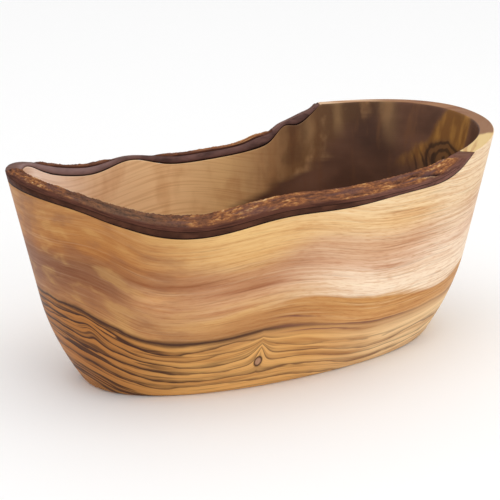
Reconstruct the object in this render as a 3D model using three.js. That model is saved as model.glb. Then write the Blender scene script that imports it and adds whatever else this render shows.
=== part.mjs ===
// Natural-edge bowl, carved lengthwise out of half a log.
// The bark is left on as the rim: a dark inner layer lies on the wood, and plates of rough
// outer bark lie on that layer. One end of the rim is sawn level.
// Millimetres. X runs along the bowl to the sawn end, Y to its rear and Z up, from the base.
import * as THREE from 'three';

// Carved wall: an oval base, a rounded bilge above it, then straight flare to the rim
const BASE_LENGTH = 180;
const BASE_WIDTH = 85;
const BASE_EDGE_RADIUS = 1.5;
const BILGE_SWELL = 9.7;
const BILGE_HEIGHT = 42;
const SAWN_END_FLARE = 0.24;
const BARK_END_FLARE = 0.23;
const SIDE_FLARE = 0.125;
const PLAN_EXPONENT = 2.2;

// Hollow: the wall is thinner along the rear and runs into the floor with a rounded cove
const WALL = 7.2;
const REAR_WALL = 4;
const REAR_WALL_STARTS = 0.15;
const REAR_WALL_FULL = 0.75;
const FLOOR = 11;
const COVE_RADIUS = 22;

// Log: each side of the rim follows the round of the log under its own wavering crest line,
// whose level counts from the height of the sawn rim
const FRONT_LOG_RADIUS = 105;
const REAR_LOG_RADIUS = 300;
const CREST_BLEND_WIDTH = 60;
const FRONT_CREST = {
  level: -4.95,
  swells: [
    { at: -110.7, rise: 6.4, reach: 24.7 },
    { at: -98, rise: -0.5, reach: 6.4 },
    { at: -23.1, rise: 10.3, reach: 33.5 },
    { at: 36, rise: 12.4, reach: 48 },
    { at: 101.5, rise: 15, reach: 20.8 },
  ],
};
const REAR_CREST = {
  level: -14.8,
  swells: [
    { at: -123.7, rise: 14.1, reach: 44.6 },
    { at: -104.6, rise: 4, reach: 12 },
    { at: -38.8, rise: 5.8, reach: 16 },
    { at: 46, rise: 5.1, reach: 5.8 },
    { at: 108.8, rise: 60.2, reach: 41.9 },
  ],
};

// Inner bark: one layer of uneven thickness, thinnest at the rear of the unsawn end
const FRONT_INNER_BARK = {
  level: 3.4,
  swells: [
    { at: -112, rise: -0.6, reach: 14 },
    { at: -72, rise: 0.5, reach: 15 },
    { at: 41, rise: -1.7, reach: 25 },
  ],
};
const REAR_INNER_BARK = {
  level: 4.1,
  swells: [
    { at: -105, rise: -2.8, reach: 10 },
    { at: -38, rise: -1.8, reach: 12 },
    { at: 32.5, rise: 1.5, reach: 7 },
    { at: 47.6, rise: -3.6, reach: 5.5 },
    { at: 50.5, rise: 2.1, reach: 6 },
    { at: 63.6, rise: -2.5, reach: 5 },
  ],
};
const LEAST_BARK = 0.6;
const SEAM = 0.3;

// Saw cut: a plane that levels the rim at one end and lifts clear of it towards the middle
const SAW_HEIGHT = 99.2;
const SAW_HEIGHT_AT = 90;
const SAW_RISE_LENGTHWISE = 0.04;
const SAW_RISE_CROSSWISE = 0.038;
const SAW_RUNOUT_AT = 40;
const SAW_RUNOUT_RISE = 0.15;

// Outer bark plates: from and to are degrees round the rim from the sawn end, over the rear
const OUTER_BARK_PLATES = [
  { name: 'outer_bark_rear_middle', from: 72, to: 101, outside: 1, inside: 0.9 },
  { name: 'outer_bark_rear_left', from: 112, to: 142, outside: 1, inside: 1 },
  { name: 'outer_bark_left_end', from: 167, to: 211, outside: 1.2, inside: 1.8 },
  { name: 'outer_bark_front_left', from: 212, to: 239, outside: 1.3, inside: 2.8 },
  { name: 'outer_bark_front_middle', from: 240, to: 272, outside: 1.7, inside: 0.8 },
  { name: 'outer_bark_front_right', from: 274, to: 310, outside: 1.5, inside: 1.6 },
];
const PLATE_END_THICKNESS_SHARE = 0.35;
const PLATE_TAPER_ANGLE = 9;
const PLATE_RIDGE = 0.3;
const PLATE_RIDGE_LENGTH = 13;
const PLATE_STEPS_ACROSS = 3;

// Facets
const STATIONS = 120;
const STATION_ANGLE = (2 * Math.PI) / STATIONS;
const EDGE_STEPS = 3;
const OUTER_STEPS = 6;
const INNER_STEPS = 4;
const COVE_STEPS = 5;
const RIM_SOLVER_STEPS = 12;

const FINISHES = {
  wood: { color: 0xc9975c, roughness: 0.55 },
  innerBark: { color: 0x4b3231, roughness: 0.7 },
  outerBark: { color: 0x9a6238, roughness: 0.95 },
};

// Height of a crest or thickness of a layer at one place along the log
function along(line, x) {
  const rise = (sum, swell) => sum + swell.rise * Math.exp(-(((x - swell.at) / swell.reach) ** 2));
  return line.swells.reduce(rise, line.level);
}

// Share of the rear line at a place across the log: 0 on the front, 1 on the rear
function rearShare(y) {
  return THREE.MathUtils.smoothstep(y, -CREST_BLEND_WIDTH / 2, CREST_BLEND_WIDTH / 2);
}

function drop(logRadius, y) {
  return logRadius - Math.sqrt(logRadius ** 2 - y ** 2);
}

function woodSurface(x, y) {
  const front = along(FRONT_CREST, x) - drop(FRONT_LOG_RADIUS, y);
  const rear = along(REAR_CREST, x) - drop(REAR_LOG_RADIUS, y);
  return SAW_HEIGHT + THREE.MathUtils.lerp(front, rear, rearShare(y));
}

function innerBarkSurface(x, y) {
  const front = along(FRONT_INNER_BARK, x);
  const rear = along(REAR_INNER_BARK, x);
  return woodSurface(x, y) + THREE.MathUtils.lerp(front, rear, rearShare(y));
}

function sawSurface(x, y) {
  const plane = SAW_HEIGHT + SAW_RISE_LENGTHWISE * (x - SAW_HEIGHT_AT) + SAW_RISE_CROSSWISE * y;
  return plane + SAW_RUNOUT_RISE * Math.max(SAW_RUNOUT_AT - x, 0);
}

// Point of the wall at an angle round the bowl, at a height and a depth in from the outside
function wallPoint(angle, z, inset) {
  const bilge = BILGE_SWELL * (1 - (1 - Math.min(z / BILGE_HEIGHT, 1)) ** 2);
  const endFlare = Math.cos(angle) > 0 ? SAWN_END_FLARE : BARK_END_FLARE;
  const halfLength = BASE_LENGTH / 2 + endFlare * z + bilge - inset;
  const halfWidth = BASE_WIDTH / 2 + SIDE_FLARE * z + bilge - inset;
  const round = (value) => Math.sign(value) * Math.abs(value) ** (2 / PLAN_EXPONENT);
  return new THREE.Vector3(halfLength * round(Math.cos(angle)), halfWidth * round(Math.sin(angle)), z);
}

// Thickness of the wall at an angle round the bowl
function wallThickness(angle) {
  const rear = THREE.MathUtils.smoothstep(Math.sin(angle), REAR_WALL_STARTS, REAR_WALL_FULL);
  return THREE.MathUtils.lerp(WALL, REAR_WALL, rear);
}

// Height at which a line down the wall meets a surface of the log, or the saw cut below it
function rimHeight(angle, inset, surface) {
  let height = SAW_HEIGHT;
  for (let step = 0; step < RIM_SOLVER_STEPS; step += 1) {
    const point = wallPoint(angle, height, inset);
    height = Math.min(surface(point.x, point.y), sawSurface(point.x, point.y));
  }
  return height;
}

// Closed skin over sections set out counter-clockwise, each going up its outer side first.
// Every quad is split from its outer corner, so that faces that meet across a seam match.
function skin(sections, closedRound) {
  const numbers = new Map();
  const positions = [];
  const faces = [];
  const numberOf = (point) => {
    if (!numbers.has(point)) {
      numbers.set(point, numbers.size);
      positions.push(point.x, point.y, point.z);
    }
    return numbers.get(point);
  };
  const addFace = (a, b, c) => {
    if (a !== b && b !== c && c !== a) {
      faces.push(numberOf(a), numberOf(b), numberOf(c));
    }
  };
  const reach = (point) => Math.hypot(point.x, point.y);
  const spans = closedRound ? sections.length : sections.length - 1;
  for (let i = 0; i < spans; i += 1) {
    const here = sections[i];
    const next = sections[(i + 1) % sections.length];
    here.forEach((point, j) => {
      const k = (j + 1) % here.length;
      if (reach(point) >= reach(here[k])) {
        addFace(point, next[j], next[k]);
        addFace(point, next[k], here[k]);
      } else {
        addFace(point, next[j], here[k]);
        addFace(next[j], next[k], here[k]);
      }
    });
  }
  if (!closedRound) {
    const first = sections[0];
    const last = sections[sections.length - 1];
    for (let j = 1; j < first.length - 1; j += 1) {
      addFace(first[0], first[j], first[j + 1]);
      addFace(last[0], last[j + 1], last[j]);
    }
  }
  const geometry = new THREE.BufferGeometry();
  geometry.setAttribute('position', new THREE.Float32BufferAttribute(positions, 3));
  geometry.setIndex(faces);
  geometry.computeVertexNormals();
  return geometry;
}

// Section part of the way from one station to the next
function sectionBetween(here, next, share) {
  return here.map((point, j) => point.clone().lerp(next[j], share));
}

// Wood: base, rounded base edge, outer wall, rim, inner wall, cove and floor at one station
function woodSections() {
  const baseCentre = new THREE.Vector3(0, 0, 0);
  const floorCentre = new THREE.Vector3(0, 0, FLOOR);
  const sections = [];
  for (let station = 0; station < STATIONS; station += 1) {
    const angle = station * STATION_ANGLE;
    const thickness = wallThickness(angle);
    const section = [baseCentre];
    for (let step = 0; step <= EDGE_STEPS; step += 1) {
      const turn = (step / EDGE_STEPS) * (Math.PI / 2);
      const inset = BASE_EDGE_RADIUS * (1 - Math.sin(turn));
      section.push(wallPoint(angle, BASE_EDGE_RADIUS * (1 - Math.cos(turn)), inset));
    }
    const outerRim = rimHeight(angle, 0, woodSurface);
    for (let step = 1; step <= OUTER_STEPS; step += 1) {
      const height = THREE.MathUtils.lerp(BASE_EDGE_RADIUS, outerRim, step / OUTER_STEPS);
      section.push(wallPoint(angle, height, 0));
    }
    const innerRim = rimHeight(angle, thickness, woodSurface);
    for (let step = 0; step < INNER_STEPS; step += 1) {
      const height = THREE.MathUtils.lerp(innerRim, FLOOR + COVE_RADIUS, step / INNER_STEPS);
      section.push(wallPoint(angle, height, thickness));
    }
    for (let step = 0; step <= COVE_STEPS; step += 1) {
      const turn = (step / COVE_STEPS) * (Math.PI / 2);
      const inset = thickness + COVE_RADIUS * (1 - Math.cos(turn));
      section.push(wallPoint(angle, FLOOR + COVE_RADIUS * (1 - Math.sin(turn)), inset));
    }
    section.push(floorCentre);
    sections.push(section);
  }
  return sections;
}

// Inner bark at one station: from a seam above the wood up to its own surface or the saw cut
function innerBarkSection(angle) {
  const depth = wallThickness(angle);
  const edge = (inset, surface, lift) => wallPoint(angle, rimHeight(angle, inset, surface) + lift, inset);
  return [
    edge(0, woodSurface, SEAM),
    edge(0, innerBarkSurface, 0),
    edge(depth, innerBarkSurface, 0),
    edge(depth, woodSurface, SEAM),
  ];
}

// Sections from the bark end round to where the layer runs out under the saw cut
function innerBarkRun(direction) {
  const thickness = (section) => Math.min(section[1].z - section[0].z, section[2].z - section[3].z);
  const run = [];
  let station = STATIONS / 2;
  let section = innerBarkSection(station * STATION_ANGLE);
  let next = section;
  while (thickness(next) > LEAST_BARK) {
    section = next;
    run.push(section);
    station += direction;
    next = innerBarkSection(station * STATION_ANGLE);
  }
  const share = (thickness(section) - LEAST_BARK) / (thickness(section) - thickness(next));
  run.push(sectionBetween(section, next, share));
  return run;
}

function innerBarkSections() {
  const towardsRear = innerBarkRun(-1).slice(1).reverse();
  return [...towardsRear, ...innerBarkRun(1)];
}

// Outer bark plate at one station: flush with both walls, ridged on top, thinner at its ends
function plateSection(plate, station) {
  const angle = station * STATION_ANGLE;
  const depth = wallThickness(angle);
  const degrees = THREE.MathUtils.radToDeg(angle);
  const fromEnd = Math.min(degrees - plate.from, plate.to - degrees);
  const taper = THREE.MathUtils.smoothstep(fromEnd, 0, PLATE_TAPER_ANGLE);
  const fullness = THREE.MathUtils.lerp(PLATE_END_THICKNESS_SHARE, 1, taper);
  const bottom = (inset) => wallPoint(angle, rimHeight(angle, inset, innerBarkSurface) + SEAM, inset);
  const section = [bottom(0)];
  for (let step = 0; step <= PLATE_STEPS_ACROSS; step += 1) {
    const across = step / PLATE_STEPS_ACROSS;
    const inset = depth * across;
    const flatThickness = THREE.MathUtils.lerp(plate.outside, plate.inside, across);
    const plateSurface = (x, y) => {
      const ridge = PLATE_RIDGE * Math.sin(2 * Math.PI * ((x + y) / PLATE_RIDGE_LENGTH + across));
      return innerBarkSurface(x, y) + SEAM + fullness * (flatThickness + ridge);
    };
    section.push(wallPoint(angle, rimHeight(angle, inset, plateSurface), inset));
  }
  section.push(bottom(depth));
  return section;
}

// A plate's ends fall between stations, on the same facets as the inner bark below them
function plateSections(plate) {
  const start = THREE.MathUtils.degToRad(plate.from) / STATION_ANGLE;
  const end = THREE.MathUtils.degToRad(plate.to) / STATION_ANGLE;
  const endSection = (place) => {
    const before = Math.floor(place);
    return sectionBetween(plateSection(plate, before), plateSection(plate, before + 1), place - before);
  };
  const sections = [endSection(start)];
  for (let station = Math.floor(start) + 1; station < end; station += 1) {
    sections.push(plateSection(plate, station));
  }
  sections.push(endSection(end));
  return sections;
}

function piece(name, geometry, finish) {
  const mesh = new THREE.Mesh(geometry, new THREE.MeshStandardMaterial({ ...finish, metalness: 0 }));
  mesh.name = name;
  return mesh;
}

const bowl = new THREE.Group();
bowl.add(piece('wood_body', skin(woodSections(), true), FINISHES.wood));
bowl.add(piece('inner_bark', skin(innerBarkSections(), false), FINISHES.innerBark));
OUTER_BARK_PLATES.forEach((plate) => {
  bowl.add(piece(plate.name, skin(plateSections(plate), false), FINISHES.outerBark));
});

export default bowl;
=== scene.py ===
import math

import bpy
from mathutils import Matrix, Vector


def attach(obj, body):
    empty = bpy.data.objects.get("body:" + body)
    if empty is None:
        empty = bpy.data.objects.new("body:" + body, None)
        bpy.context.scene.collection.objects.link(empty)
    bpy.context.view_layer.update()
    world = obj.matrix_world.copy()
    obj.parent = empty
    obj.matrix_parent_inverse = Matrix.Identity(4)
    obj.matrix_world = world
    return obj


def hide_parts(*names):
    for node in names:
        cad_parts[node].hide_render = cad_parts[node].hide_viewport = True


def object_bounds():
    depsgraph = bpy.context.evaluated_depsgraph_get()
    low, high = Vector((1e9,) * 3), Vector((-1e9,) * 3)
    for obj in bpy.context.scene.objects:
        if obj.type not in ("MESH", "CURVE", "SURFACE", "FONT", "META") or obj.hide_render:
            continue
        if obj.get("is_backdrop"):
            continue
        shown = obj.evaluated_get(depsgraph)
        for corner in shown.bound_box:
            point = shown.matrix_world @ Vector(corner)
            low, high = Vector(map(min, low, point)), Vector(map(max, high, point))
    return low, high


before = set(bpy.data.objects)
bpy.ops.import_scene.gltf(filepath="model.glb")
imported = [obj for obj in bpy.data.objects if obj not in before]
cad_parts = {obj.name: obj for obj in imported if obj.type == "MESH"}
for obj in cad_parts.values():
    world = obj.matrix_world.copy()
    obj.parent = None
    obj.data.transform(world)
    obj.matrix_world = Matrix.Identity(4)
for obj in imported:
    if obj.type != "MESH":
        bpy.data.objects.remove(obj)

cad_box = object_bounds()

# Wood body: one piece of olive wood, carved lengthwise out of half a log, sanded and oiled.
# An oval base swells into a bilge, the wall flares up to the round of the log, and one end is
# sawn level. The wall is thinner along the rear, and the hollow runs into its floor with a cove.
BASE_LENGTH, BASE_WIDTH = 0.180, 0.085
BILGE_SWELL, BILGE_HEIGHT = 0.0097, 0.042
SAWN_END_FLARE, BARK_END_FLARE, SIDE_FLARE = 0.24, 0.23, 0.125
# Exponent of the oval plan, and a scale that keeps the fine surface inside the solids
PLAN_EXPONENT, PLAN_FIT = 2.2, 0.998
# Wall at the front and the ends, wall at the rear, and the sines of the angles between which one turns into the other
WALL, REAR_WALL, REAR_WALL_STARTS, REAR_WALL_FULL = 0.0072, 0.0040, 0.15, 0.75
# Crest of the log over the front and the rear of the rim: a level, then swells as place, rise and reach
FRONT_LOG_RADIUS, REAR_LOG_RADIUS, CREST_BLEND_WIDTH = 0.105, 0.300, 0.060
FRONT_CREST = (-0.00495, (
    (-0.1107, 0.0064, 0.0247), (-0.098, -0.0005, 0.0064), (-0.0231, 0.0103, 0.0335),
    (0.036, 0.0124, 0.048), (0.1015, 0.015, 0.0208),
))
REAR_CREST = (-0.0148, (
    (-0.1237, 0.0141, 0.0446), (-0.1046, 0.004, 0.012), (-0.0388, 0.0058, 0.016),
    (0.046, 0.0051, 0.0058), (0.1088, 0.0602, 0.0419),
))
# Saw cut: its height, where along the bowl that is, its rise both ways, and where and how steeply it runs out
SAW_HEIGHT, SAW_HEIGHT_AT, SAW_RISE_LENGTHWISE, SAW_RISE_CROSSWISE = 0.0992, 0.090, 0.04, 0.038
SAW_RUNOUT_AT, SAW_RUNOUT_RISE = 0.040, 0.15
# Rounds in which the rim's height settles, and the distance within which points of a mesh become one
RIM_ROUNDS = 3
ONE_POINT = 2e-6
# Millimetres in a metre and metres in a millimetre: the wood's colours and the materials' noise are in millimetres
MILLIMETRES, METRES = 1000.0, 0.001


class Wire:
    """One socket of a node tree: arithmetic on it adds Math nodes, and node() adds any other node."""

    def __init__(self, tree, socket=None):
        self.tree = tree
        self.socket = socket

    def node(self, kind, settings=None, inputs=None, out=0):
        made = self.tree.nodes.new(kind)
        for name, value in (settings or {}).items():
            if name == "stops":
                ramp = made.color_ramp.elements
                while len(ramp) < len(value):
                    ramp.new(1.0)
                for element, (place, colour) in zip(ramp, value):
                    element.position = place
                    element.color = colour
            else:
                setattr(made, name, value)
        for name, value in (inputs or {}).items():
            if isinstance(value, Wire):
                self.tree.links.new(value.socket, made.inputs[name])
            else:
                made.inputs[name].default_value = value
        return Wire(self.tree, made.outputs[out])

    def math(self, operation, *values):
        return self.node("ShaderNodeMath", {"operation": operation}, dict(enumerate(values)))

    def other(self, out):
        """Another output of the node that this wire comes from."""
        return Wire(self.tree, self.socket.node.outputs[out])

    def __add__(self, other):
        return self.math("ADD", self, other)

    def __sub__(self, other):
        return self.math("SUBTRACT", self, other)

    def __rsub__(self, other):
        return self.math("SUBTRACT", other, self)

    def __mul__(self, other):
        return self.math("MULTIPLY", self, other)

    def __truediv__(self, other):
        return self.math("DIVIDE", self, other)

    __radd__ = __add__
    __rmul__ = __mul__


NUMBER_MATHS = {
    "COSINE": math.cos,
    "SINE": math.sin,
    "EXPONENT": math.exp,
    "SQRT": math.sqrt,
    "ABSOLUTE": abs,
    "POWER": pow,
    "MINIMUM": min,
    "MAXIMUM": max,
    "SIGN": lambda value: math.copysign(1.0, value),
}


def maths(operation, *values):
    """A function of plain numbers, or of wires, for the formulas that use both."""
    wires = [value for value in values if isinstance(value, Wire)]
    return wires[0].math(operation, *values) if wires else NUMBER_MATHS[operation](*values)


def grouped(*results):
    """Makes a formula a node group of its own, so that a tree can use it often and stay small."""
    def wrap(formula):
        names = formula.__code__.co_varnames[:formula.__code__.co_argcount]
        group = bpy.data.node_groups.new(formula.__name__, "GeometryNodeTree")
        for name in names:
            group.interface.new_socket(name, in_out="INPUT", socket_type="NodeSocketFloat")
        for name in results:
            group.interface.new_socket(name, in_out="OUTPUT", socket_type="NodeSocketFloat")
        entry = group.nodes.new("NodeGroupInput")
        leave = group.nodes.new("NodeGroupOutput")
        values = formula(*[Wire(group, entry.outputs[name]) for name in names])
        for name, value in zip(results, values if len(results) > 1 else [values]):
            group.links.new(value.socket, leave.inputs[name])

        def use(*given):
            wires = [value for value in given if isinstance(value, Wire)]
            if not wires:
                return formula(*given)
            first = wires[0].node("GeometryNodeGroup", {"node_tree": group}, dict(zip(names, given)), results[0])
            return [first.other(name) for name in results] if len(results) > 1 else first

        return use

    return wrap


def share(value, start, end):
    """How far a value has come from start to end, held between 0 and 1."""
    return maths("MINIMUM", maths("MAXIMUM", (value - start) / (end - start), 0.0), 1.0)


def soft_share(value, start, end):
    done = share(value, start, end)
    return done * done * (3.0 - 2.0 * done)


def mix(first, second, part):
    return first + (second - first) * part


def bump(value, place, reach):
    offset = (value - place) / reach
    return maths("EXPONENT", offset * offset * -1.0)


def along(line, x):
    """Height of a line at a place: its level, and swells given as place, rise and reach."""
    level, swells = line
    height = level
    for place, rise, reach in swells:
        height = height + rise * bump(x, place, reach)
    return height


@grouped("x", "y")
def wall_point(angle, z, inset):
    """Place of the wall at an angle round the bowl, at a height and a depth in from the outside."""
    left = 1.0 - share(z, 0.0, BILGE_HEIGHT)
    bilge = BILGE_SWELL * (1.0 - left * left) - inset
    lengthwise = maths("COSINE", angle)
    crosswise = maths("SINE", angle)
    at_sawn_end = share(maths("SIGN", lengthwise), -1.0, 1.0)
    half_length = BASE_LENGTH / 2.0 + mix(BARK_END_FLARE, SAWN_END_FLARE, at_sawn_end) * z + bilge
    half_width = BASE_WIDTH / 2.0 + SIDE_FLARE * z + bilge
    power = 2.0 / PLAN_EXPONENT
    x = half_length * maths("SIGN", lengthwise) * maths("POWER", maths("ABSOLUTE", lengthwise), power)
    y = half_width * maths("SIGN", crosswise) * maths("POWER", maths("ABSOLUTE", crosswise), power)
    return x * PLAN_FIT, y * PLAN_FIT


@grouped("thickness")
def wall_thickness(angle):
    return mix(WALL, REAR_WALL, soft_share(maths("SINE", angle), REAR_WALL_STARTS, REAR_WALL_FULL))


def rear_share(y):
    return soft_share(y, CREST_BLEND_WIDTH / -2.0, CREST_BLEND_WIDTH / 2.0)


@grouped("height")
def wood_surface(x, y):
    front = along(FRONT_CREST, x) - FRONT_LOG_RADIUS + maths("SQRT", FRONT_LOG_RADIUS ** 2 - y * y)
    rear = along(REAR_CREST, x) - REAR_LOG_RADIUS + maths("SQRT", REAR_LOG_RADIUS ** 2 - y * y)
    return SAW_HEIGHT + mix(front, rear, rear_share(y))


@grouped("height")
def saw_surface(x, y):
    runout = SAW_RUNOUT_RISE * maths("MAXIMUM", SAW_RUNOUT_AT - x, 0.0)
    return SAW_HEIGHT + SAW_RISE_LENGTHWISE * (x - SAW_HEIGHT_AT) + SAW_RISE_CROSSWISE * y + runout


def rim_height(angle, inset, surface):
    """Height where the wall meets a surface of the log, or the saw cut where that is lower."""
    height = SAW_HEIGHT
    for _ in range(RIM_ROUNDS):
        x, y = wall_point(angle, height, inset)
        height = maths("MINIMUM", surface(x, y), saw_surface(x, y))
    return height


@grouped("height")
def wood_rim(angle, inset):
    return rim_height(angle, inset, wood_surface)


def sized_tree(name, sizes):
    """A geometry tree with one named input for each size, and the wires of those inputs."""
    tree = bpy.data.node_groups.new(name, "GeometryNodeTree")
    for size in sizes:
        tree.interface.new_socket(size, in_out="INPUT", socket_type="NodeSocketFloat")
    tree.interface.new_socket("Geometry", in_out="OUTPUT", socket_type="NodeSocketGeometry")
    entry = tree.nodes.new("NodeGroupInput")
    return tree, [Wire(tree, entry.outputs[size]) for size in sizes]


def sheet_of_points(tree, columns, rows):
    """A flat grid, with wires for how far along and across it each point lies, from 0 to 1."""
    grid = Wire(tree).node("GeometryNodeMeshGrid", None, {"Vertices X": columns, "Vertices Y": rows})
    place = grid.node("GeometryNodeInputPosition")
    along_grid = grid.node("ShaderNodeSeparateXYZ", None, {0: place}, "X")
    return grid, along_grid + 0.5, along_grid.other("Y") + 0.5


def finish_tree(tree, grid, x, y, z, marks, material):
    """Moves the grid's points, closes its seams, keeps the marks for the material and ends the tree."""
    place = grid.node("ShaderNodeCombineXYZ", None, {"X": x, "Y": y, "Z": z})
    for name, value in marks.items():
        settings = {"data_type": "FLOAT", "domain": "POINT"}
        grid = grid.node("GeometryNodeStoreNamedAttribute", settings, {"Geometry": grid, "Name": name, "Value": value})
    shape = grid.node("GeometryNodeSetPosition", None, {"Geometry": grid, "Position": place})
    shape = shape.node("GeometryNodeMergeByDistance", None, {"Geometry": shape, "Distance": ONE_POINT})
    shape = shape.node("GeometryNodeSetShadeSmooth", None, {"Geometry": shape})
    shape = shape.node("GeometryNodeRealizeInstances", None, {"Geometry": shape})
    shape = shape.node("GeometryNodeSetMaterial", None, {"Geometry": shape, "Material": material})
    tree.links.new(shape.socket, tree.nodes.new("NodeGroupOutput").inputs["Geometry"])


def grown(name, tree, sizes, slot, node):
    """The piece that a tree makes at these sizes, as a plain mesh that stands for its CAD node."""
    piece = bpy.data.objects.new(name, bpy.data.meshes.new(name))
    bpy.context.scene.collection.objects.link(piece)
    modifier = piece.modifiers.new(name, "NODES")
    modifier.node_group = tree
    for item in tree.interface.items_tree:
        if item.in_out == "INPUT":
            modifier[item.identifier] = sizes[item.name]
    mesh = bpy.data.meshes.new_from_object(piece.evaluated_get(bpy.context.evaluated_depsgraph_get()))
    piece.modifiers.clear()
    piece.data = mesh
    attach(piece, "root")
    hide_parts(node)


def tint(code):
    """Linear colour of a hexadecimal screen colour."""
    parts = [int(code[place:place + 2], 16) / 255.0 for place in (0, 2, 4)]
    return (*[part / 12.92 if part < 0.04045 else ((part + 0.055) / 1.055) ** 2.4 for part in parts], 1.0)


def new_material(name, roughness, gloss=0.2):
    """A material, the shader in it, and a wire with the place in the object in metres."""
    material = bpy.data.materials.new(name)
    material.use_nodes = True
    shader = material.node_tree.nodes["Principled BSDF"]
    shader.inputs["Roughness"].default_value = roughness
    shader.inputs["Specular IOR Level"].default_value = gloss
    return material, shader, Wire(material.node_tree).node("ShaderNodeTexCoord", None, None, "Object")


def blend(first, second, part, kind="MIX"):
    return part.node("ShaderNodeMix", {"data_type": "RGBA", "blend_type": kind}, {0: part, 6: first, 7: second}, 2)


def colours(value, stops):
    """Colour that goes with a value, from pairs of a value and a screen colour in rising order."""
    start, end = stops[0][0], stops[-1][0]
    placed = [((at - start) / (end - start), tint(code)) for at, code in stops]
    return value.node("ShaderNodeValToRGB", {"stops": placed}, {0: share(value, start, end)})


def noise(place, size, seed, detail=3.0):
    """Noise from 0 to 1 whose spots have this size in millimetres along, across and up."""
    scale = [MILLIMETRES / length for length in size]
    shift = (seed, seed * 1.7, seed * 0.6)
    moved = place.node("ShaderNodeVectorMath", {"operation": "MULTIPLY_ADD"}, {0: place, 1: scale, 2: shift})
    return place.node("ShaderNodeTexNoise", None, {"Vector": moved, "Scale": 1.0, "Detail": detail})


def attribute(place, name):
    return place.node("ShaderNodeAttribute", {"attribute_name": name}, None, "Fac")


olive_wood, shader, place = new_material("olive_wood", 0.42)
# Place in the object, in millimetres
x = place.node("ShaderNodeSeparateXYZ", None, {0: place}, "X")
y, z = x.other("Y") * MILLIMETRES, x.other("Z") * MILLIMETRES
x = x * MILLIMETRES
inside = attribute(place, "inside")
front = share(y, -2.0, -12.0)

# Growth rings round a pith below the base, counted in millimetres from the heartwood's edge
HEART_EDGE = (73.5, ((-12.0, 15.3, 48.0), (60.0, 5.0, 30.0), (-104.0, 7.0, 16.0)))
PITH_BELOW_BASE, PITH_SLOPE = 38.0, 0.06
from_pith = z + PITH_BELOW_BASE + PITH_SLOPE * x
sway = noise(place, (120.0, 40.0, 40.0), 3.1, 2.0) - 0.5
ripple = noise(place, (55.0, 8.0, 8.0), 7.7, 3.0) - 0.5
ring = maths("SQRT", y * y + from_pith * from_pith) - along(HEART_EDGE, x) + sway * 4.0 + ripple * 1.1
# The rings bulge over a pin knot in the front and fold near the bark end
BULGE_RISE, BULGE_AT, BULGE_REACH, BULGE_HEIGHT, BULGE_SPREAD = 9.0, -28.0, 2.6, 21.0, 7.0
FOLD_DEPTH, FOLD_AT, FOLD_REACH, FOLD_LEAN, FOLD_RING, FOLD_SPREAD = 3.0, -86.5, 2.4, 0.35, -8.0, 5.0
cusp = maths("EXPONENT", maths("ABSOLUTE", x - BULGE_AT) / -BULGE_REACH)
ring = ring - BULGE_RISE * cusp * bump(z, BULGE_HEIGHT, BULGE_SPREAD) * front
fold = FOLD_DEPTH * bump(x + FOLD_LEAN * z, FOLD_AT, FOLD_REACH)
ring = ring - fold * bump(ring, FOLD_RING, FOLD_SPREAD) * front
# Place along and across the grain: what is drawn on it runs with the rings all round the bowl
with_grain = place.node("ShaderNodeCombineXYZ", None, {"X": x * METRES, "Y": y * METRES, "Z": ring * METRES})


def ring_lines(spacing, wander, sharpness, seed):
    """Dark lines that end each ring with a sharp inner edge, each as strong as chance has it."""
    drift = noise(with_grain, (38.0, 38.0, 7.0), seed, 3.0) - 0.5
    count = ring / spacing + drift * wander
    number = maths("FLOOR", count)
    through = count - number
    chance = place.node("ShaderNodeTexWhiteNoise", {"noise_dimensions": "1D"}, {"W": number + seed})
    line = maths("POWER", 1.0 - through, sharpness) * soft_share(through, 0.0, 0.12)
    return line * soft_share(chance, 0.1, 0.7)


to_left = soft_share(x, 45.0, -50.0)
bold = ring_lines(4.4, 2.1, 3.6, 11.0)
fine = ring_lines(1.15, 2.4, 1.4, 23.0)
grain = noise(with_grain, (26.0, 26.0, 0.6), 5.0, 3.0)
streaks = noise(with_grain, (60.0, 60.0, 3.6), 9.0, 5.0)
threads = noise(with_grain, (46.0, 46.0, 1.0), 31.0, 4.0)
flecks = noise(with_grain, (5.0, 5.0, 0.5), 47.0, 2.0)
cloud = noise(place, (45.0, 22.0, 22.0), 14.0, 3.0)
broad_strokes = soft_share(noise(with_grain, (46.0, 46.0, 2.6), 67.0, 3.0), 0.55, 0.63)
thin_strokes = soft_share(noise(with_grain, (30.0, 30.0, 1.0), 83.0, 3.0), 0.56, 0.64)

heart = 1.0 - soft_share(ring, -1.0, 3.0)
heart_colour = blend(tint("f4d09c"), tint("e4ae68"), soft_share(x, 50.0, -10.0))
heart_colour = blend(heart_colour, tint("d29a54"), soft_share(x, -30.0, -90.0))
heart_colour = blend(heart_colour, tint("b0743a"), soft_share(streaks, 0.44, 0.72) * 0.7)
heart_colour = blend(heart_colour, tint("965c2c"), fine * 0.2)
heart_colour = blend(heart_colour, tint("b88450"), soft_share(x, -55.0, -100.0) * 0.6, "MULTIPLY")
# The dark lines are strong towards the bark end and soft towards the sawn end, where the outer rings have none
lined = mix(soft_share(ring, -4.0, -11.0), 1.0, soft_share(x, 0.0, -50.0))
to_bark_end = soft_share(x, -55.0, -88.0)
line_colour = blend(tint("643a24"), tint("3a1e14"), to_left)
outer_rings = soft_share(ring, -7.0, -1.0) * soft_share(x, -70.0, -40.0)
heart_colour = blend(heart_colour, tint("b07c4c"), outer_rings * 0.65)
bold_strength = 1.15 + 0.15 * to_left + 0.7 * to_bark_end
heart_colour = blend(heart_colour, line_colour, maths("MINIMUM", bold * bold_strength, 0.94) * lined)
thin_strength = 0.2 + 0.15 * to_left + 0.35 * to_bark_end
strokes = maths("MAXIMUM", broad_strokes * to_bark_end * 0.9, thin_strokes * thin_strength)
heart_colour = blend(heart_colour, line_colour, strokes * lined)

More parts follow.
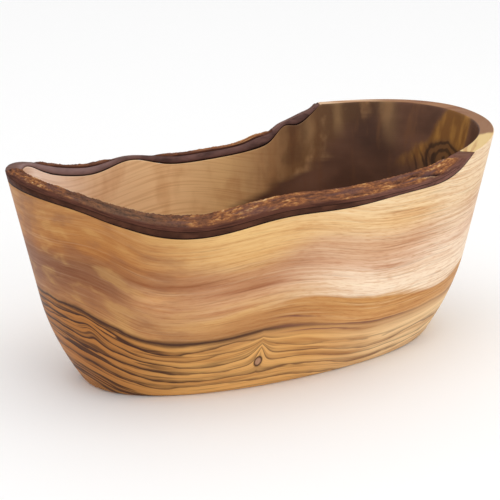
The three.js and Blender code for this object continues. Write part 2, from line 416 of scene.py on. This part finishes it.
# Sapwood: bands at each height above the heartwood, told apart at the bark end, the middle and the sawn end. A reddish
# band dips in the middle, and the cream band at the sawn end reaches lower towards the tip.
BARK_END_BANDS = (
    (-16, "c08c5a"), (-4, "b98452"), (6, "a06c46"), (18, "8c5c3c"), (26, "b0743c"), (36, "b67c42"), (50, "b88450"),
)
MIDDLE_BANDS = (
    (-16, "a87248"), (-5, "b88450"), (-1, "c8955e"), (2, "d8a96e"), (9, "d2a174"), (16, "c28e66"),
    (20.5, "b8825a"), (25, "c69468"), (29, "d8aa72"), (33, "e0b274"), (50, "e8c080"),
)
SAWN_END_BANDS = (
    (-16, "d6a268"), (-1, "cc9656"), (1, "fae4c8"), (9, "f6dcc0"), (15, "e0b696"), (23, "e2bc98"),
    (32, "ecc894"), (50, "f2d4a8"),
)
# Patches of another tone: colour, place along the bowl and its reach, height in the bands and its reach, strength
SAP_PATCHES = (
    ("dea872", -77.0, 11.0, 13.5, 6.0, 0.75),
    ("84563e", -112.0, 8.0, 9.0, 8.0, 0.6),
    ("ca986e", 32.0, 26.0, 18.5, 5.0, 0.5),
    ("e0b076", 42.0, 18.0, 31.0, 6.0, 0.5),
)
band = ring - 10.0 - 0.08 * (x + 36.0) + (cloud - 0.5) * 6.0 + (streaks - 0.5) * 8.0
dipped = band + 7.0 * bump(x, -32.0, 22.0) * soft_share(band, 2.0, 12.0)
lowered = band + 8.0 * share(x, 18.0, 72.0) * soft_share(band, 10.0, -7.0)
sap_colour = blend(colours(band, BARK_END_BANDS), colours(dipped, MIDDLE_BANDS), soft_share(x, -98.0, -48.0))
sap_colour = blend(sap_colour, colours(lowered, SAWN_END_BANDS), soft_share(x, -40.0, 30.0))
for code, at, reach, height, spread, strength in SAP_PATCHES:
    sap_colour = blend(sap_colour, tint(code), bump(x, at, reach) * bump(band, height, spread) * strength)
sap_colour = blend(sap_colour, tint("f4dcbc"), soft_share(x, 50.0, 76.0) * soft_share(band, 10.0, 18.0) * 0.5)
streaked = soft_share(streaks, 0.44, 0.76) * (0.25 + 0.55 * bump(band, 18.0, 9.0))
sap_colour = blend(sap_colour, tint("cca284"), streaked, "MULTIPLY")
sap_colour = blend(sap_colour, tint("d8b490"), soft_share(threads, 0.46, 0.7) * mix(0.55, 0.3, to_left), "MULTIPLY")
sap_colour = blend(sap_colour, tint("fff0cc"), soft_share(threads, 0.46, 0.26) * mix(0.3, 0.08, to_left))
sap_colour = blend(sap_colour, tint("a87240"), fine * 0.14)
# Brown and yellow smudges lie along the grain towards the bark end
smudges = noise(with_grain, (26.0, 12.0, 7.0), 71.0, 4.0)
smudged = soft_share(x, -40.0, -85.0)
sap_colour = blend(sap_colour, tint("8a5a3e"), soft_share(smudges, 0.46, 0.68) * smudged * 0.5)
sap_colour = blend(sap_colour, tint("d4a664"), soft_share(smudges, 0.48, 0.3) * smudged * 0.35)
sap_colour = blend(sap_colour, tint("dcba98"), soft_share(flecks, 0.48, 0.7) * mix(0.45, 0.3, to_left), "MULTIPLY")

outside_colour = blend(sap_colour, heart_colour, heart)
heart_line = bump(ring + ripple * 1.5, 0.4, 0.55 + 1.3 * threads * to_left)
heart_line = heart_line * mix(0.3, 0.97, soft_share(x, 10.0, -40.0))
outside_colour = blend(outside_colour, tint("402418"), heart_line)
# Thin reddish lines that branch along the heartwood's edge towards the sawn end
branching = ring + ripple * 5.0
reddish_lines = bump(branching, 0.9, 0.5)
reddish_lines = reddish_lines + bump(branching, -2.0, 0.45) * bump(x, 2.0, 22.0)
reddish_lines = reddish_lines + bump(branching, 4.6, 0.4) * bump(x, -14.0, 12.0)
reddish_lines = reddish_lines * soft_share(x, -34.0, -16.0) * soft_share(x, 66.0, 44.0)
reddish_lines = reddish_lines * front * (0.45 + 0.55 * soft_share(streaks, 0.4, 0.6))
outside_colour = blend(outside_colour, tint("74463a"), maths("MINIMUM", reddish_lines, 1.0) * 0.85)
# Pin knot: a pale core in a dark ring
KNOT_AT, KNOT_HALF_WIDTH, KNOT_HEIGHT, KNOT_HALF_HEIGHT = -28.3, 1.7, 16.2, 2.5
off_knot = maths("POWER", (x - KNOT_AT) / KNOT_HALF_WIDTH, 2.0)
knot = maths("SQRT", off_knot + maths("POWER", (z - KNOT_HEIGHT) / KNOT_HALF_HEIGHT, 2.0))
knot_here = front * (1.0 - inside)
outside_colour = blend(outside_colour, tint("b48a6c"), (1.0 - soft_share(knot, 0.7, 1.0)) * knot_here)
outside_colour = blend(outside_colour, tint("44261a"), bump(knot, 1.0, 0.25) * knot_here)

# Hollow: pale at the bark end, then dark heartwood from a slanting edge on. Towards the sawn end the wall is cut
# across the grain, so that light streaks stand upright there, and a branch has left an eye.
PALE_INSIDE = (
    (-120, "c89870"), (-110, "d4a47e"), (-98, "fce0cc"), (-60, "e6bd93"), (-20, "f0c692"), (12, "dab07a"),
    (34, "b0865a"), (50, "785434"), (80, "5c402a"),
)
DARK_EDGE_AT, DARK_EDGE_HEIGHT, DARK_EDGE_LOWEST, DARK_EDGE_TOP = 58.0, 68.0, 54.0, 100.0
upright = noise(place, (6.0, 6.0, 60.0), 41.0, 4.0)
mottle = noise(place, (15.0, 15.0, 26.0), 53.0, 4.0)
to_sawn_end = soft_share(x, 15.0, 50.0)
up_wall = maths("MINIMUM", maths("MAXIMUM", z, DARK_EDGE_LOWEST), DARK_EDGE_TOP) - DARK_EDGE_HEIGHT
slant = x - DARK_EDGE_AT - up_wall - 2.0 * maths("MINIMUM", up_wall, 0.0)
slant = slant + (cloud - 0.5) * 24.0 + (streaks - 0.5) * 18.0
pale_inside = colours(x, PALE_INSIDE)
pale_inside = blend(pale_inside, tint("c89c6c"), soft_share(mottle, 0.5, 0.68) * to_sawn_end * 0.55)
pale_inside = blend(pale_inside, tint("5c3e28"), soft_share(mottle, 0.48, 0.34) * to_sawn_end * 0.5)
dark_inside = blend(tint("523628"), tint("6e4c3a"), soft_share(cloud, 0.35, 0.7))
dark_inside = blend(dark_inside, tint("382620"), bump(x, 87.0, 9.0) * share(z, 70.0, 80.0) * 0.5)
upright_streaks = soft_share(upright, 0.5, 0.7) * (0.12 + 0.25 * share(z, 60.0, 100.0))
dark_inside = blend(dark_inside, tint("966e4c"), upright_streaks)
low = soft_share(z, 58.0, 30.0)
inside_colour = blend(pale_inside, dark_inside, soft_share(slant, -8.0 - 18.0 * low, 8.0 + 14.0 * low))
# Low down and on the floor the rings are cut flat, so that their lines open into loops
inside_colour = blend(inside_colour, tint("845630"), streaks * low * 0.4)
inside_colour = blend(inside_colour, tint("4a2c1c"), maths("MINIMUM", bold * 1.2, 0.8) * low * 0.75)
wander = (mottle - 0.5) * 9.0
light_streaks = bump(x + wander, 73.0, 2.4) * share(z, 82.0, 92.0)
light_streaks = light_streaks + bump(x + wander, 96.5, 3.0) * share(z, 76.0, 94.0)
light_streaks = light_streaks + bump(x + wander * 2.0, 58.0, 4.0) * bump(z, 88.0, 8.0)
light_streaks = maths("MINIMUM", light_streaks * (0.25 + 0.9 * upright), 1.0) * share(y, 0.0, 20.0)
inside_colour = blend(inside_colour, tint("a8845a"), light_streaks * 0.75)
# Olive-brown wood round the eye, cut off by a dark stripe at the tip of the hollow
olive_edge = 19.0 - (z - 90.0) * 0.5 - y + (mottle - 0.5) * 20.0
olive_here = soft_share(olive_edge, -2.0, 3.0) * soft_share(y + (mottle - 0.5) * 6.0, -7.0, -4.0)
olive_here = olive_here * share(x, 88.0, 98.0) * soft_share(z, 66.0, 80.0)
olive_colour = blend(tint("805422"), tint("b8863e"), soft_share(upright, 0.4, 0.66))
inside_colour = blend(inside_colour, olive_colour, olive_here * 0.85)
EYE_AT, EYE_STRETCH, EYE_HEIGHT = 8.0, 1.25, 77.0
at_tip = share(x, 80.0, 98.0)
eye = maths("SQRT", maths("POWER", (y - EYE_AT) / EYE_STRETCH, 2.0) + maths("POWER", z - EYE_HEIGHT, 2.0))
eye = eye + (mottle - 0.5) * 11.0 + (cloud - 0.5) * 6.0
eye_lines = soft_share(maths("COSINE", eye * 1.6 + (upright - 0.5) * 5.0), -0.6, 0.9)
eye_here = (1.0 - soft_share(eye, 7.5, 11.5)) * at_tip
inside_colour = blend(inside_colour, blend(tint("6a472a"), tint("2c1a12"), eye_lines), eye_here * 0.85)
side_arcs = soft_share(maths("COSINE", (y - z * 0.6) * 1.5 + (mottle - 0.5) * 12.0), 0.3, 0.95)
side_arcs = side_arcs * bump(y, 20.0, 5.0) * bump(z, 73.0, 6.0)
inside_colour = blend(inside_colour, tint("2c1a12"), side_arcs * at_tip * 0.8)
grain_inside = mix(soft_share(threads, 0.46, 0.66) * 0.3, soft_share(upright, 0.46, 0.7) * 0.35, to_sawn_end)
inside_colour = blend(inside_colour, tint("c8a080"), grain_inside, "MULTIPLY")
mottled = soft_share(mottle, 0.45, 0.66) * 0.3 * (1.0 - to_sawn_end)
inside_colour = blend(inside_colour, tint("c49468"), mottled, "MULTIPLY")
inside_colour = blend(inside_colour, tint("5a3c28"), fine * 0.05 * (1.0 - to_sawn_end))

# The sawn rim shows pale end grain, browner at the tip of the sawn end
rim_colour = blend(tint("d2ae8a"), tint("986840"), soft_share(x, 80.0, 100.0))
rim_colour = blend(rim_colour, tint("8e6240"), soft_share(y, 14.0, 6.0))
rim_colour = blend(rim_colour, tint("dcbc80"), soft_share(y + (threads - 0.5) * 6.0, -27.0, -30.0))
rim_colour = blend(rim_colour, tint("c89c78"), soft_share(threads, 0.45, 0.65) * 0.7, "MULTIPLY")
wood_colour = blend(outside_colour, inside_colour, soft_share(inside, 0.55, 0.98))
wood_colour = blend(wood_colour, rim_colour, soft_share(inside, 0.02, 0.08) * soft_share(inside, 0.98, 0.92))
pores = soft_share(grain, 0.52, 0.8) * (1.0 - inside * mix(0.75, 1.0, to_sawn_end))
wood_colour = blend(wood_colour, tint("6e4426"), pores * 0.35)
wood_links = place.tree.links
wood_links.new(wood_colour.socket, shader.inputs["Base Color"])
wood_links.new((0.38 + 0.22 * grain).socket, shader.inputs["Roughness"])
relief = place.node("ShaderNodeBump", None, {"Strength": 0.12, "Distance": 0.0004, "Height": grain - bold * 0.2})
wood_links.new(relief.socket, shader.inputs["Normal"])

WOOD_SIZES = {"Floor": 0.011, "Cove radius": 0.022, "Base edge radius": 0.0015, "Rim edge radius": 0.0005}
# Where each stretch of the wall's section ends, as a share of the rows of the sheet
BASE_ENDS, EDGE_ENDS, OUTSIDE_ENDS, RIM_ENDS, INSIDE_ENDS, COVE_ENDS = 0.02, 0.06, 0.46, 0.57, 0.86, 0.98
QUARTER_TURN = math.pi / 2.0
BOWL_COLUMNS, BOWL_ROWS = 481, 151
# Height of the log above the saw cut over which the sawn rim's edge gets its rounding, and the least rounding
SAWN_FULL, LEAST_ROUNDING = 0.003, 1e-6

tree, (floor, cove, base_edge, rim_edge) = sized_tree("carved_bowl", WOOD_SIZES)
sheet, round_bowl, through_wall = sheet_of_points(tree, BOWL_COLUMNS, BOWL_ROWS)
angle = round_bowl * (2.0 * math.pi)
edge_turn = share(through_wall, BASE_ENDS, EDGE_ENDS) * QUARTER_TURN
up_outside = share(through_wall, EDGE_ENDS, OUTSIDE_ENDS)
over_rim = 0.5 - 0.5 * maths("COSINE", share(through_wall, OUTSIDE_ENDS, RIM_ENDS) * math.pi)
down_inside = share(through_wall, RIM_ENDS, INSIDE_ENDS)
cove_turn = share(through_wall, INSIDE_ENDS, COVE_ENDS) * QUARTER_TURN
from_centre = share(through_wall, 0.0, BASE_ENDS) * share(through_wall, 1.0, COVE_ENDS)

wall = wall_thickness(angle)
rim_inset = wall * over_rim
rim_top = wood_rim(angle, rim_inset)
x, y = wall_point(angle, rim_top, rim_inset)
sawn = share(wood_surface(x, y) - saw_surface(x, y), 0.0, SAWN_FULL)
edge_radius = rim_edge * sawn + LEAST_ROUNDING


def eased(depth):
    """How far an edge is rounded down at this depth in from it."""
    short = maths("MAXIMUM", edge_radius - depth, 0.0)
    return edge_radius - maths("SQRT", maths("MAXIMUM", edge_radius * edge_radius - short * short, 0.0))


rim_top = rim_top - eased(rim_inset) - eased(wall - rim_inset)
inset = base_edge * (1.0 - maths("SINE", edge_turn)) + rim_inset + cove * (1.0 - maths("COSINE", cove_turn))
z = base_edge * (1.0 - maths("COSINE", edge_turn)) + up_outside * (rim_top - base_edge)
z = z + down_inside * (floor + cove - rim_top) - cove * maths("SINE", cove_turn)
x, y = wall_point(angle, z, inset)
finish_tree(tree, sheet, x * from_centre, y * from_centre, z, {"inside": over_rim}, olive_wood)
grown("carved_bowl", tree, WOOD_SIZES, "olive_wood", "wood_body")

# Inner bark: the dark bast layer that grew on the wood, left on as the rim and sanded flush with
# both walls. It runs from the front round the unsawn end to the rear and dies out under the saw cut.
FRONT_INNER_BARK = (0.0034, ((-0.112, -0.0006, 0.014), (-0.072, 0.0005, 0.015), (0.041, -0.0017, 0.025)))
REAR_INNER_BARK = (0.0041, (
    (-0.105, -0.0028, 0.010), (-0.038, -0.0018, 0.012), (0.0325, 0.0015, 0.007),
    (0.0476, -0.0036, 0.0055), (0.0505, 0.0021, 0.006), (0.0636, -0.0025, 0.005),
))
# Seam under a layer of bark, the height that no bark passes, and the steps that find where the layer gives out
SEAM = 0.00008
HIGHEST = 0.1058
HALVINGS = 30


@grouped("height")
def inner_bark_surface(x, y):
    return wood_surface(x, y) + mix(along(FRONT_INNER_BARK, x), along(REAR_INNER_BARK, x), rear_share(y))


@grouped("height")
def inner_bark_rim(angle, inset):
    return maths("MINIMUM", rim_height(angle, inset, inner_bark_surface), HIGHEST)


def run_out(depth, inside_angle, outside_angle):
    """Angle between these two at which the inner bark gives out under the saw cut, at a depth from 0 to 1."""
    for _ in range(HALVINGS):
        angle = (inside_angle + outside_angle) / 2.0
        inset = wall_thickness(angle) * depth
        if inner_bark_rim(angle, inset) - wood_rim(angle, inset) > 2.0 * SEAM:
            inside_angle = angle
        else:
            outside_angle = angle
    return inside_angle


BARK_SIZES = {
    "Rear outer end": run_out(0.0, math.radians(90.0), 0.0),
    "Rear inner end": run_out(1.0, math.radians(90.0), 0.0),
    "Front outer end": run_out(0.0, math.radians(270.0), math.radians(360.0)),
    "Front inner end": run_out(1.0, math.radians(270.0), math.radians(360.0)),
    "Roughness": 0.0004,
}

inner_bark, shader, place = new_material("inner_bark", 0.65, 0.05)
lift, depth = attribute(place, "lift"), attribute(place, "depth")
fibres = noise(place, (14.0, 1.2, 1.2), 2.0, 4.0)
mottle = noise(place, (9.0, 4.0, 4.0), 6.0, 3.0)
x = place.node("ShaderNodeSeparateXYZ", None, {0: place}, "X")
to_rear = soft_share(x.other("Y"), -0.010, 0.020)
to_sawn_end = soft_share(x, 0.0, 0.060)
dark_bark = blend(blend(tint("40261c"), tint("583a32"), to_sawn_end), tint("543e3a"), to_rear)
light_bark = blend(blend(tint("583628"), tint("785248"), to_sawn_end), tint("785852"), to_rear)
bark_colour = blend(dark_bark, light_bark, soft_share(mottle, 0.3, 0.7))
bark_colour = blend(bark_colour, tint("2c1a16"), soft_share(fibres, 0.5, 0.75) * 0.5)
greyed = soft_share(x, -0.030, -0.070) * soft_share(x.other("Y"), -0.010, 0.010) * soft_share(depth, 0.5, 1.0)
bark_colour = blend(bark_colour, tint("927672"), greyed * (0.55 + 0.5 * mottle))
# Painted shade: the foot of each flank, where the bark meets the wood, is darkened nearly to black
bark_colour = blend(bark_colour, tint("160c0c"), 1.0 - soft_share(lift, 0.04, 0.28))
on_top = soft_share(depth, 0.02, 0.12) * soft_share(depth, 0.98, 0.88)
bark_colour = blend(bark_colour, tint("74503f"), on_top * mix(0.7, 0.3, to_rear))
place.tree.links.new(bark_colour.socket, shader.inputs["Base Color"])
relief = place.node("ShaderNodeBump", None, {"Strength": 0.3, "Distance": 0.0006, "Height": fibres})
place.tree.links.new(relief.socket, shader.inputs["Normal"])

# Where each side of a bark strip's section ends, as a share of the rows of the sheet: its top and its bottom have
# as many rows, so that they close on each other at the strip's ends
OUTER_SIDE_ENDS, TOP_ENDS, INNER_SIDE_ENDS = 1.0 / 24.0, 12.0 / 24.0, 13.0 / 24.0
LAYER_COLUMNS, LAYER_ROWS = 901, 49
# Radius that turns an angle round the rim into a length along it
RIM_RADIUS = 0.09


def strip_section(through):
    """Depth into the wall, as a share of it, and how far up the strip's section a row lies."""
    over_top = share(through, OUTER_SIDE_ENDS, TOP_ENDS)
    depth = over_top - share(through, INNER_SIDE_ENDS, 1.0)
    lift = share(through, 0.0, OUTER_SIDE_ENDS) - share(through, TOP_ENDS, INNER_SIDE_ENDS)
    return depth, lift


def crumble(angle, inset, lengthwise, crosswise, seed, detail):
    """Noise on a bark strip, drawn out along the rim, from 0 to 1."""
    stretched = {"X": angle * (RIM_RADIUS / lengthwise), "Y": inset / crosswise, "Z": seed}
    spot = inset.node("ShaderNodeCombineXYZ", None, stretched)
    return spot.node("ShaderNodeTexNoise", None, {"Vector": spot, "Scale": 1.0, "Detail": detail, "Roughness": 0.6})


@grouped("height")
def worn_bark(angle, inset, roughness):
    """Height of the inner bark's top, with the hollows that wear has left in it."""
    bottom = wood_rim(angle, inset) + SEAM
    thickness = inner_bark_rim(angle, inset) - bottom
    hollows = roughness * crumble(angle, inset, 0.009, 0.0022, 4.0, 4.0)
    return bottom + maths("MAXIMUM", thickness - hollows * share(thickness, 0.0005, 0.002), 0.0)


tree, (rear_outer, rear_inner, front_outer, front_inner, roughness) = sized_tree("inner_bark_layer", BARK_SIZES)
sheet, along_strip, through = sheet_of_points(tree, LAYER_COLUMNS, LAYER_ROWS)
depth, lift = strip_section(through)
angle = mix(mix(rear_outer, rear_inner, depth), mix(front_outer, front_inner, depth), along_strip)
inset = wall_thickness(angle) * depth
fade = share(along_strip, 0.0, 0.004) * share(along_strip, 1.0, 0.996)
bottom = wood_rim(angle, inset) + SEAM
z = bottom + lift * fade * (worn_bark(angle, inset, roughness) - bottom)
x, y = wall_point(angle, z, inset)
finish_tree(tree, sheet, x, y, z, {"lift": lift, "depth": depth}, inner_bark)
grown("inner_bark_layer", tree, BARK_SIZES, "inner_bark", "inner_bark")

# Outer bark: rough corky plates that are left on top of the inner bark. Each breaks off at its ends
# and is sanded flush with both walls, so that only its top is rough.
PLATE_SIZES = (
    "Start", "End", "Start run-out", "End run-out", "Start outside", "Start inside", "End outside", "End inside",
)
# Degrees round the rim, degrees over which the ends run out, and thickness at the outside and inside of both ends
PLATES = {
    "outer_bark_rear_middle": (72.0, 101.0, 2.0, 3.0, 0.0017, 0.0012, 0.0017, 0.0010),
    "outer_bark_rear_left": (112.0, 142.0, 3.0, 4.0, 0.0017, 0.0010, 0.0017, 0.0010),
    "outer_bark_left_end": (167.0, 211.6, 3.0, 0.05, 0.0016, 0.0020, 0.0014, 0.0028),
    "outer_bark_front_left": (211.4, 239.6, 0.05, 0.05, 0.0014, 0.0030, 0.0018, 0.0026),
    "outer_bark_front_middle": (239.4, 273.1, 0.05, 0.05, 0.0018, 0.0025, 0.0016, 0.0008),
    "outer_bark_front_right": (272.9, 310.0, 0.05, 2.5, 0.0016, 0.0009, 0.0015, 0.0021),
}
# How orange rather than brown the plates are: a level, then swells in degrees round the rim
ORANGE = (0.1, (
    (80.0, 0.75, 10.0), (188.0, 0.9, 11.0), (222.0, -0.05, 12.0),
    (252.0, 0.75, 12.0), (284.0, 0.45, 14.0), (304.0, 0.85, 6.0),
))
# Share of the top, from the outside in, where the plates are rubbed smooth and dark
MARGIN = (0.0, (
    (190.0, 0.4, 16.0), (225.0, 0.2, 20.0), (255.0, 0.15, 20.0), (292.0, 0.12, 20.0), (309.0, 0.12, 8.0),
))
CRUST = (
    (0.0, "140c0a"), (0.25, "462c26"), (0.36, "603e2e"), (0.48, "7a4f38"),
    (0.57, "8e5a3a"), (0.66, "b07a4a"), (0.76, "d2a674"), (0.8, "dcb482"),
)
# Length of a degree round the rim, and height of a plate's flank, for the grain that is drawn on it
DEGREE_LENGTH, FLANK_HEIGHT = 0.0016, 0.002
PLATE_COLUMNS, PLATE_ROWS = 401, 97
LEAST_THICKNESS = 0.00002

outer_bark, shader, place = new_material("outer_bark", 0.9, 0.05)
lift, high, turn = attribute(place, "lift"), attribute(place, "high"), attribute(place, "turn")
spread_out = {"X": turn * DEGREE_LENGTH, "Y": attribute(place, "depth") * WALL, "Z": lift * FLANK_HEIGHT}
on_strip = place.node("ShaderNodeCombineXYZ", None, spread_out)
fibres = noise(on_strip, (9.0, 0.8, 0.8), 2.0, 4.0)
specks = noise(on_strip, (1.3, 0.6, 0.6), 8.0, 3.0)
chunks = noise(on_strip, (4.5, 1.7, 1.7), 19.0, 4.0)
to_sawn_end = soft_share(turn, 268.0, 290.0)
# Crust tone: partly the crust's own colour from its fibres, specks, chunks and orange patches, and partly painted
# shade and painted light from the lumps' height, near-black where the bark lies low between lumps and pale where it
# stands high
worn = 0.45 * high + 0.25 * fibres + mix(0.3, 0.2, to_sawn_end) * specks + mix(0.0, 0.05, to_sawn_end)
worn = worn + (chunks - 0.5) * (0.4 + 0.3 * bump(turn, 190.0, 16.0)) + (along(ORANGE, turn) - 0.45) * 0.22
crust = colours(worn, CRUST)
purple = noise(on_strip, (16.0, 2.0, 2.0), 15.0, 3.0)
crust = blend(crust, tint("644846"), soft_share(purple, 0.5, 0.6) * mix(0.5, 0.75, to_sawn_end))
crust = blend(crust, tint("705a4a"), bump(turn, 220.0, 16.0) * 0.45)
light_flank = blend(tint("5e3a2e"), tint("7c5448"), to_sawn_end)
dark_flank = blend(tint("452a22"), tint("5e3e36"), to_sawn_end)
flank = blend(light_flank, dark_flank, soft_share(fibres, 0.4, 0.65))
# Painted shade: the foot of each flank, where the plate sits on the inner bark, is darkened nearly to black
flank = blend(tint("20140f"), flank, soft_share(lift, 0.05, 0.3))
bark_colour = blend(flank, crust, soft_share(lift, 0.8, 1.0) * attribute(place, "crust"))
place.tree.links.new(bark_colour.socket, shader.inputs["Base Color"])
relief = place.node("ShaderNodeBump", None, {"Strength": 0.6, "Distance": 0.0008, "Height": fibres + specks * 0.5})
place.tree.links.new(relief.socket, shader.inputs["Normal"])

tree, (start, end, start_run, end_run, start_out, start_in, end_out, end_in) = sized_tree("bark_plate", PLATE_SIZES)
sheet, along_strip, through = sheet_of_points(tree, PLATE_COLUMNS, PLATE_ROWS)
depth, lift = strip_section(through)
turn = mix(start, end, along_strip)
angle = turn * (math.pi / 180.0)
inset = wall_thickness(angle) * depth
bottom = worn_bark(angle, inset, BARK_SIZES["Roughness"]) + SEAM
x, y = wall_point(angle, bottom, inset)
fibre = crumble(angle, inset, 0.009, 0.0014, 3.0, 4.0)
lumps = crumble(angle, inset, 0.007, 0.0036, 8.0, 3.0)
chips = crumble(angle, inset, 0.0016, 0.0009, 12.0, 3.0)
high = soft_share(0.36 * fibre + 0.3 * lumps + 0.34 * chips, 0.32, 0.68)
# A fissure slants across the front right plate, with a pale chunk beside it
across = depth - 0.5 + 0.055 * (turn - 295.0) + (chips - 0.5) * 0.15
fissure = bump(across, 0.0, 0.1) * bump(turn, 298.0, 3.8)
high = high - 1.4 * fissure + 0.6 * bump(across, -0.18, 0.09) * bump(turn, 297.0, 3.2)
# Ends that run out are rounded in plan
off_middle = 2.0 * depth - 1.0
corner = 1.2 * off_middle * off_middle
at_start = share(turn - start - start_run * corner, 0.0, start_run * (0.2 + 1.2 * lumps))
at_end = share(end - turn - end_run * corner, 0.0, end_run * (0.2 + 1.2 * lumps))
fade = at_start * at_end
thickness = mix(mix(start_out, end_out, along_strip), mix(start_in, end_in, along_strip), depth)
margin = along(MARGIN, turn)
crust = soft_share(depth + (lumps - 0.5) * 0.35, margin - 0.1, margin + 0.06)
thickness = thickness * fade * mix(0.75, 0.6 + 0.5 * high, crust) * (1.0 - 0.8 * fissure)
top = maths("MINIMUM", maths("MINIMUM", bottom + thickness, saw_surface(x, y)), HIGHEST)
ends = share(along_strip, 0.0, 0.002) * share(along_strip, 1.0, 0.998)
z = bottom + lift * ends * maths("MAXIMUM", top - bottom, LEAST_THICKNESS)
x, y = wall_point(angle, z, inset)
marks = {"lift": lift, "high": high, "turn": turn, "depth": depth, "crust": crust * fade}
finish_tree(tree, sheet, x, y, z, marks, outer_bark)
for node, values in PLATES.items():
    grown(node + "_plate", tree, dict(zip(PLATE_SIZES, values)), "outer_bark", node)

# Studio: a pale floor, soft light from all round, a large box overhead and a fill in front, and
# a camera that stands where the photograph was taken from.
FLOOR_REACH = 6.0
WORLD_STRENGTH = 0.92
floor_mesh = bpy.data.meshes.new("floor")
corners = [(across * FLOOR_REACH, back * FLOOR_REACH, 0) for across, back in ((-1, -1), (1, -1), (1, 1), (-1, 1))]
floor_mesh.from_pydata(corners, [], [(0, 1, 2, 3)])
pale_floor, shader, _ = new_material("pale_floor", 0.7)
shader.inputs["Base Color"].default_value = tint("fafafa")
floor_mesh.materials.append(pale_floor)
studio_floor = bpy.data.objects.new("floor", floor_mesh)
bpy.context.scene.collection.objects.link(studio_floor)
studio_floor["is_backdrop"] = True

world = bpy.data.worlds.new("studio")
world.use_nodes = True
background = world.node_tree.nodes["Background"]
background.inputs["Color"].default_value = (1.0, 1.0, 1.0, 1.0)
background.inputs["Strength"].default_value = WORLD_STRENGTH
bpy.context.scene.world = world


def softbox(name, place, aim, width, watts):
    light = bpy.data.lights.new(name, "AREA")
    light.shape = "SQUARE"
    light.size = width
    light.energy = watts
    box = bpy.data.objects.new(name, light)
    box.location = place
    box.rotation_euler = (Vector(aim) - Vector(place)).to_track_quat("-Z", "Y").to_euler()
    bpy.context.scene.collection.objects.link(box)


softbox("overhead", place=(-0.1, -0.2, 1.3), aim=(0, 0, 0.05), width=1.0, watts=3.0)
softbox("front_fill", place=(0.2, -1.4, 0.6), aim=(0, 0, 0.05), width=0.8, watts=2.5)

CAMERA_AZIMUTH, CAMERA_ELEVATION = math.radians(-29.42), math.radians(19.0)
CAMERA_DISTANCE, CAMERA_VIEW_ANGLE = 0.96024, math.radians(14.0)
CAMERA_AIM = Vector((-0.004785, 0.0, 0.0507))
camera_data = bpy.data.cameras.new("camera")
camera_data.sensor_fit = "HORIZONTAL"
camera_data.angle = CAMERA_VIEW_ANGLE
camera = bpy.data.objects.new("camera", camera_data)
back = Vector((
    math.sin(CAMERA_AZIMUTH) * math.cos(CAMERA_ELEVATION),
    -math.cos(CAMERA_AZIMUTH) * math.cos(CAMERA_ELEVATION),
    math.sin(CAMERA_ELEVATION),
))
camera.location = CAMERA_AIM + back * CAMERA_DISTANCE
camera.rotation_euler = back.to_track_quat("Z", "Y").to_euler()
bpy.context.scene.collection.objects.link(camera)
bpy.context.scene.camera = camera
bpy.context.scene.view_settings.view_transform = "Standard"

visual_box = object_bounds()
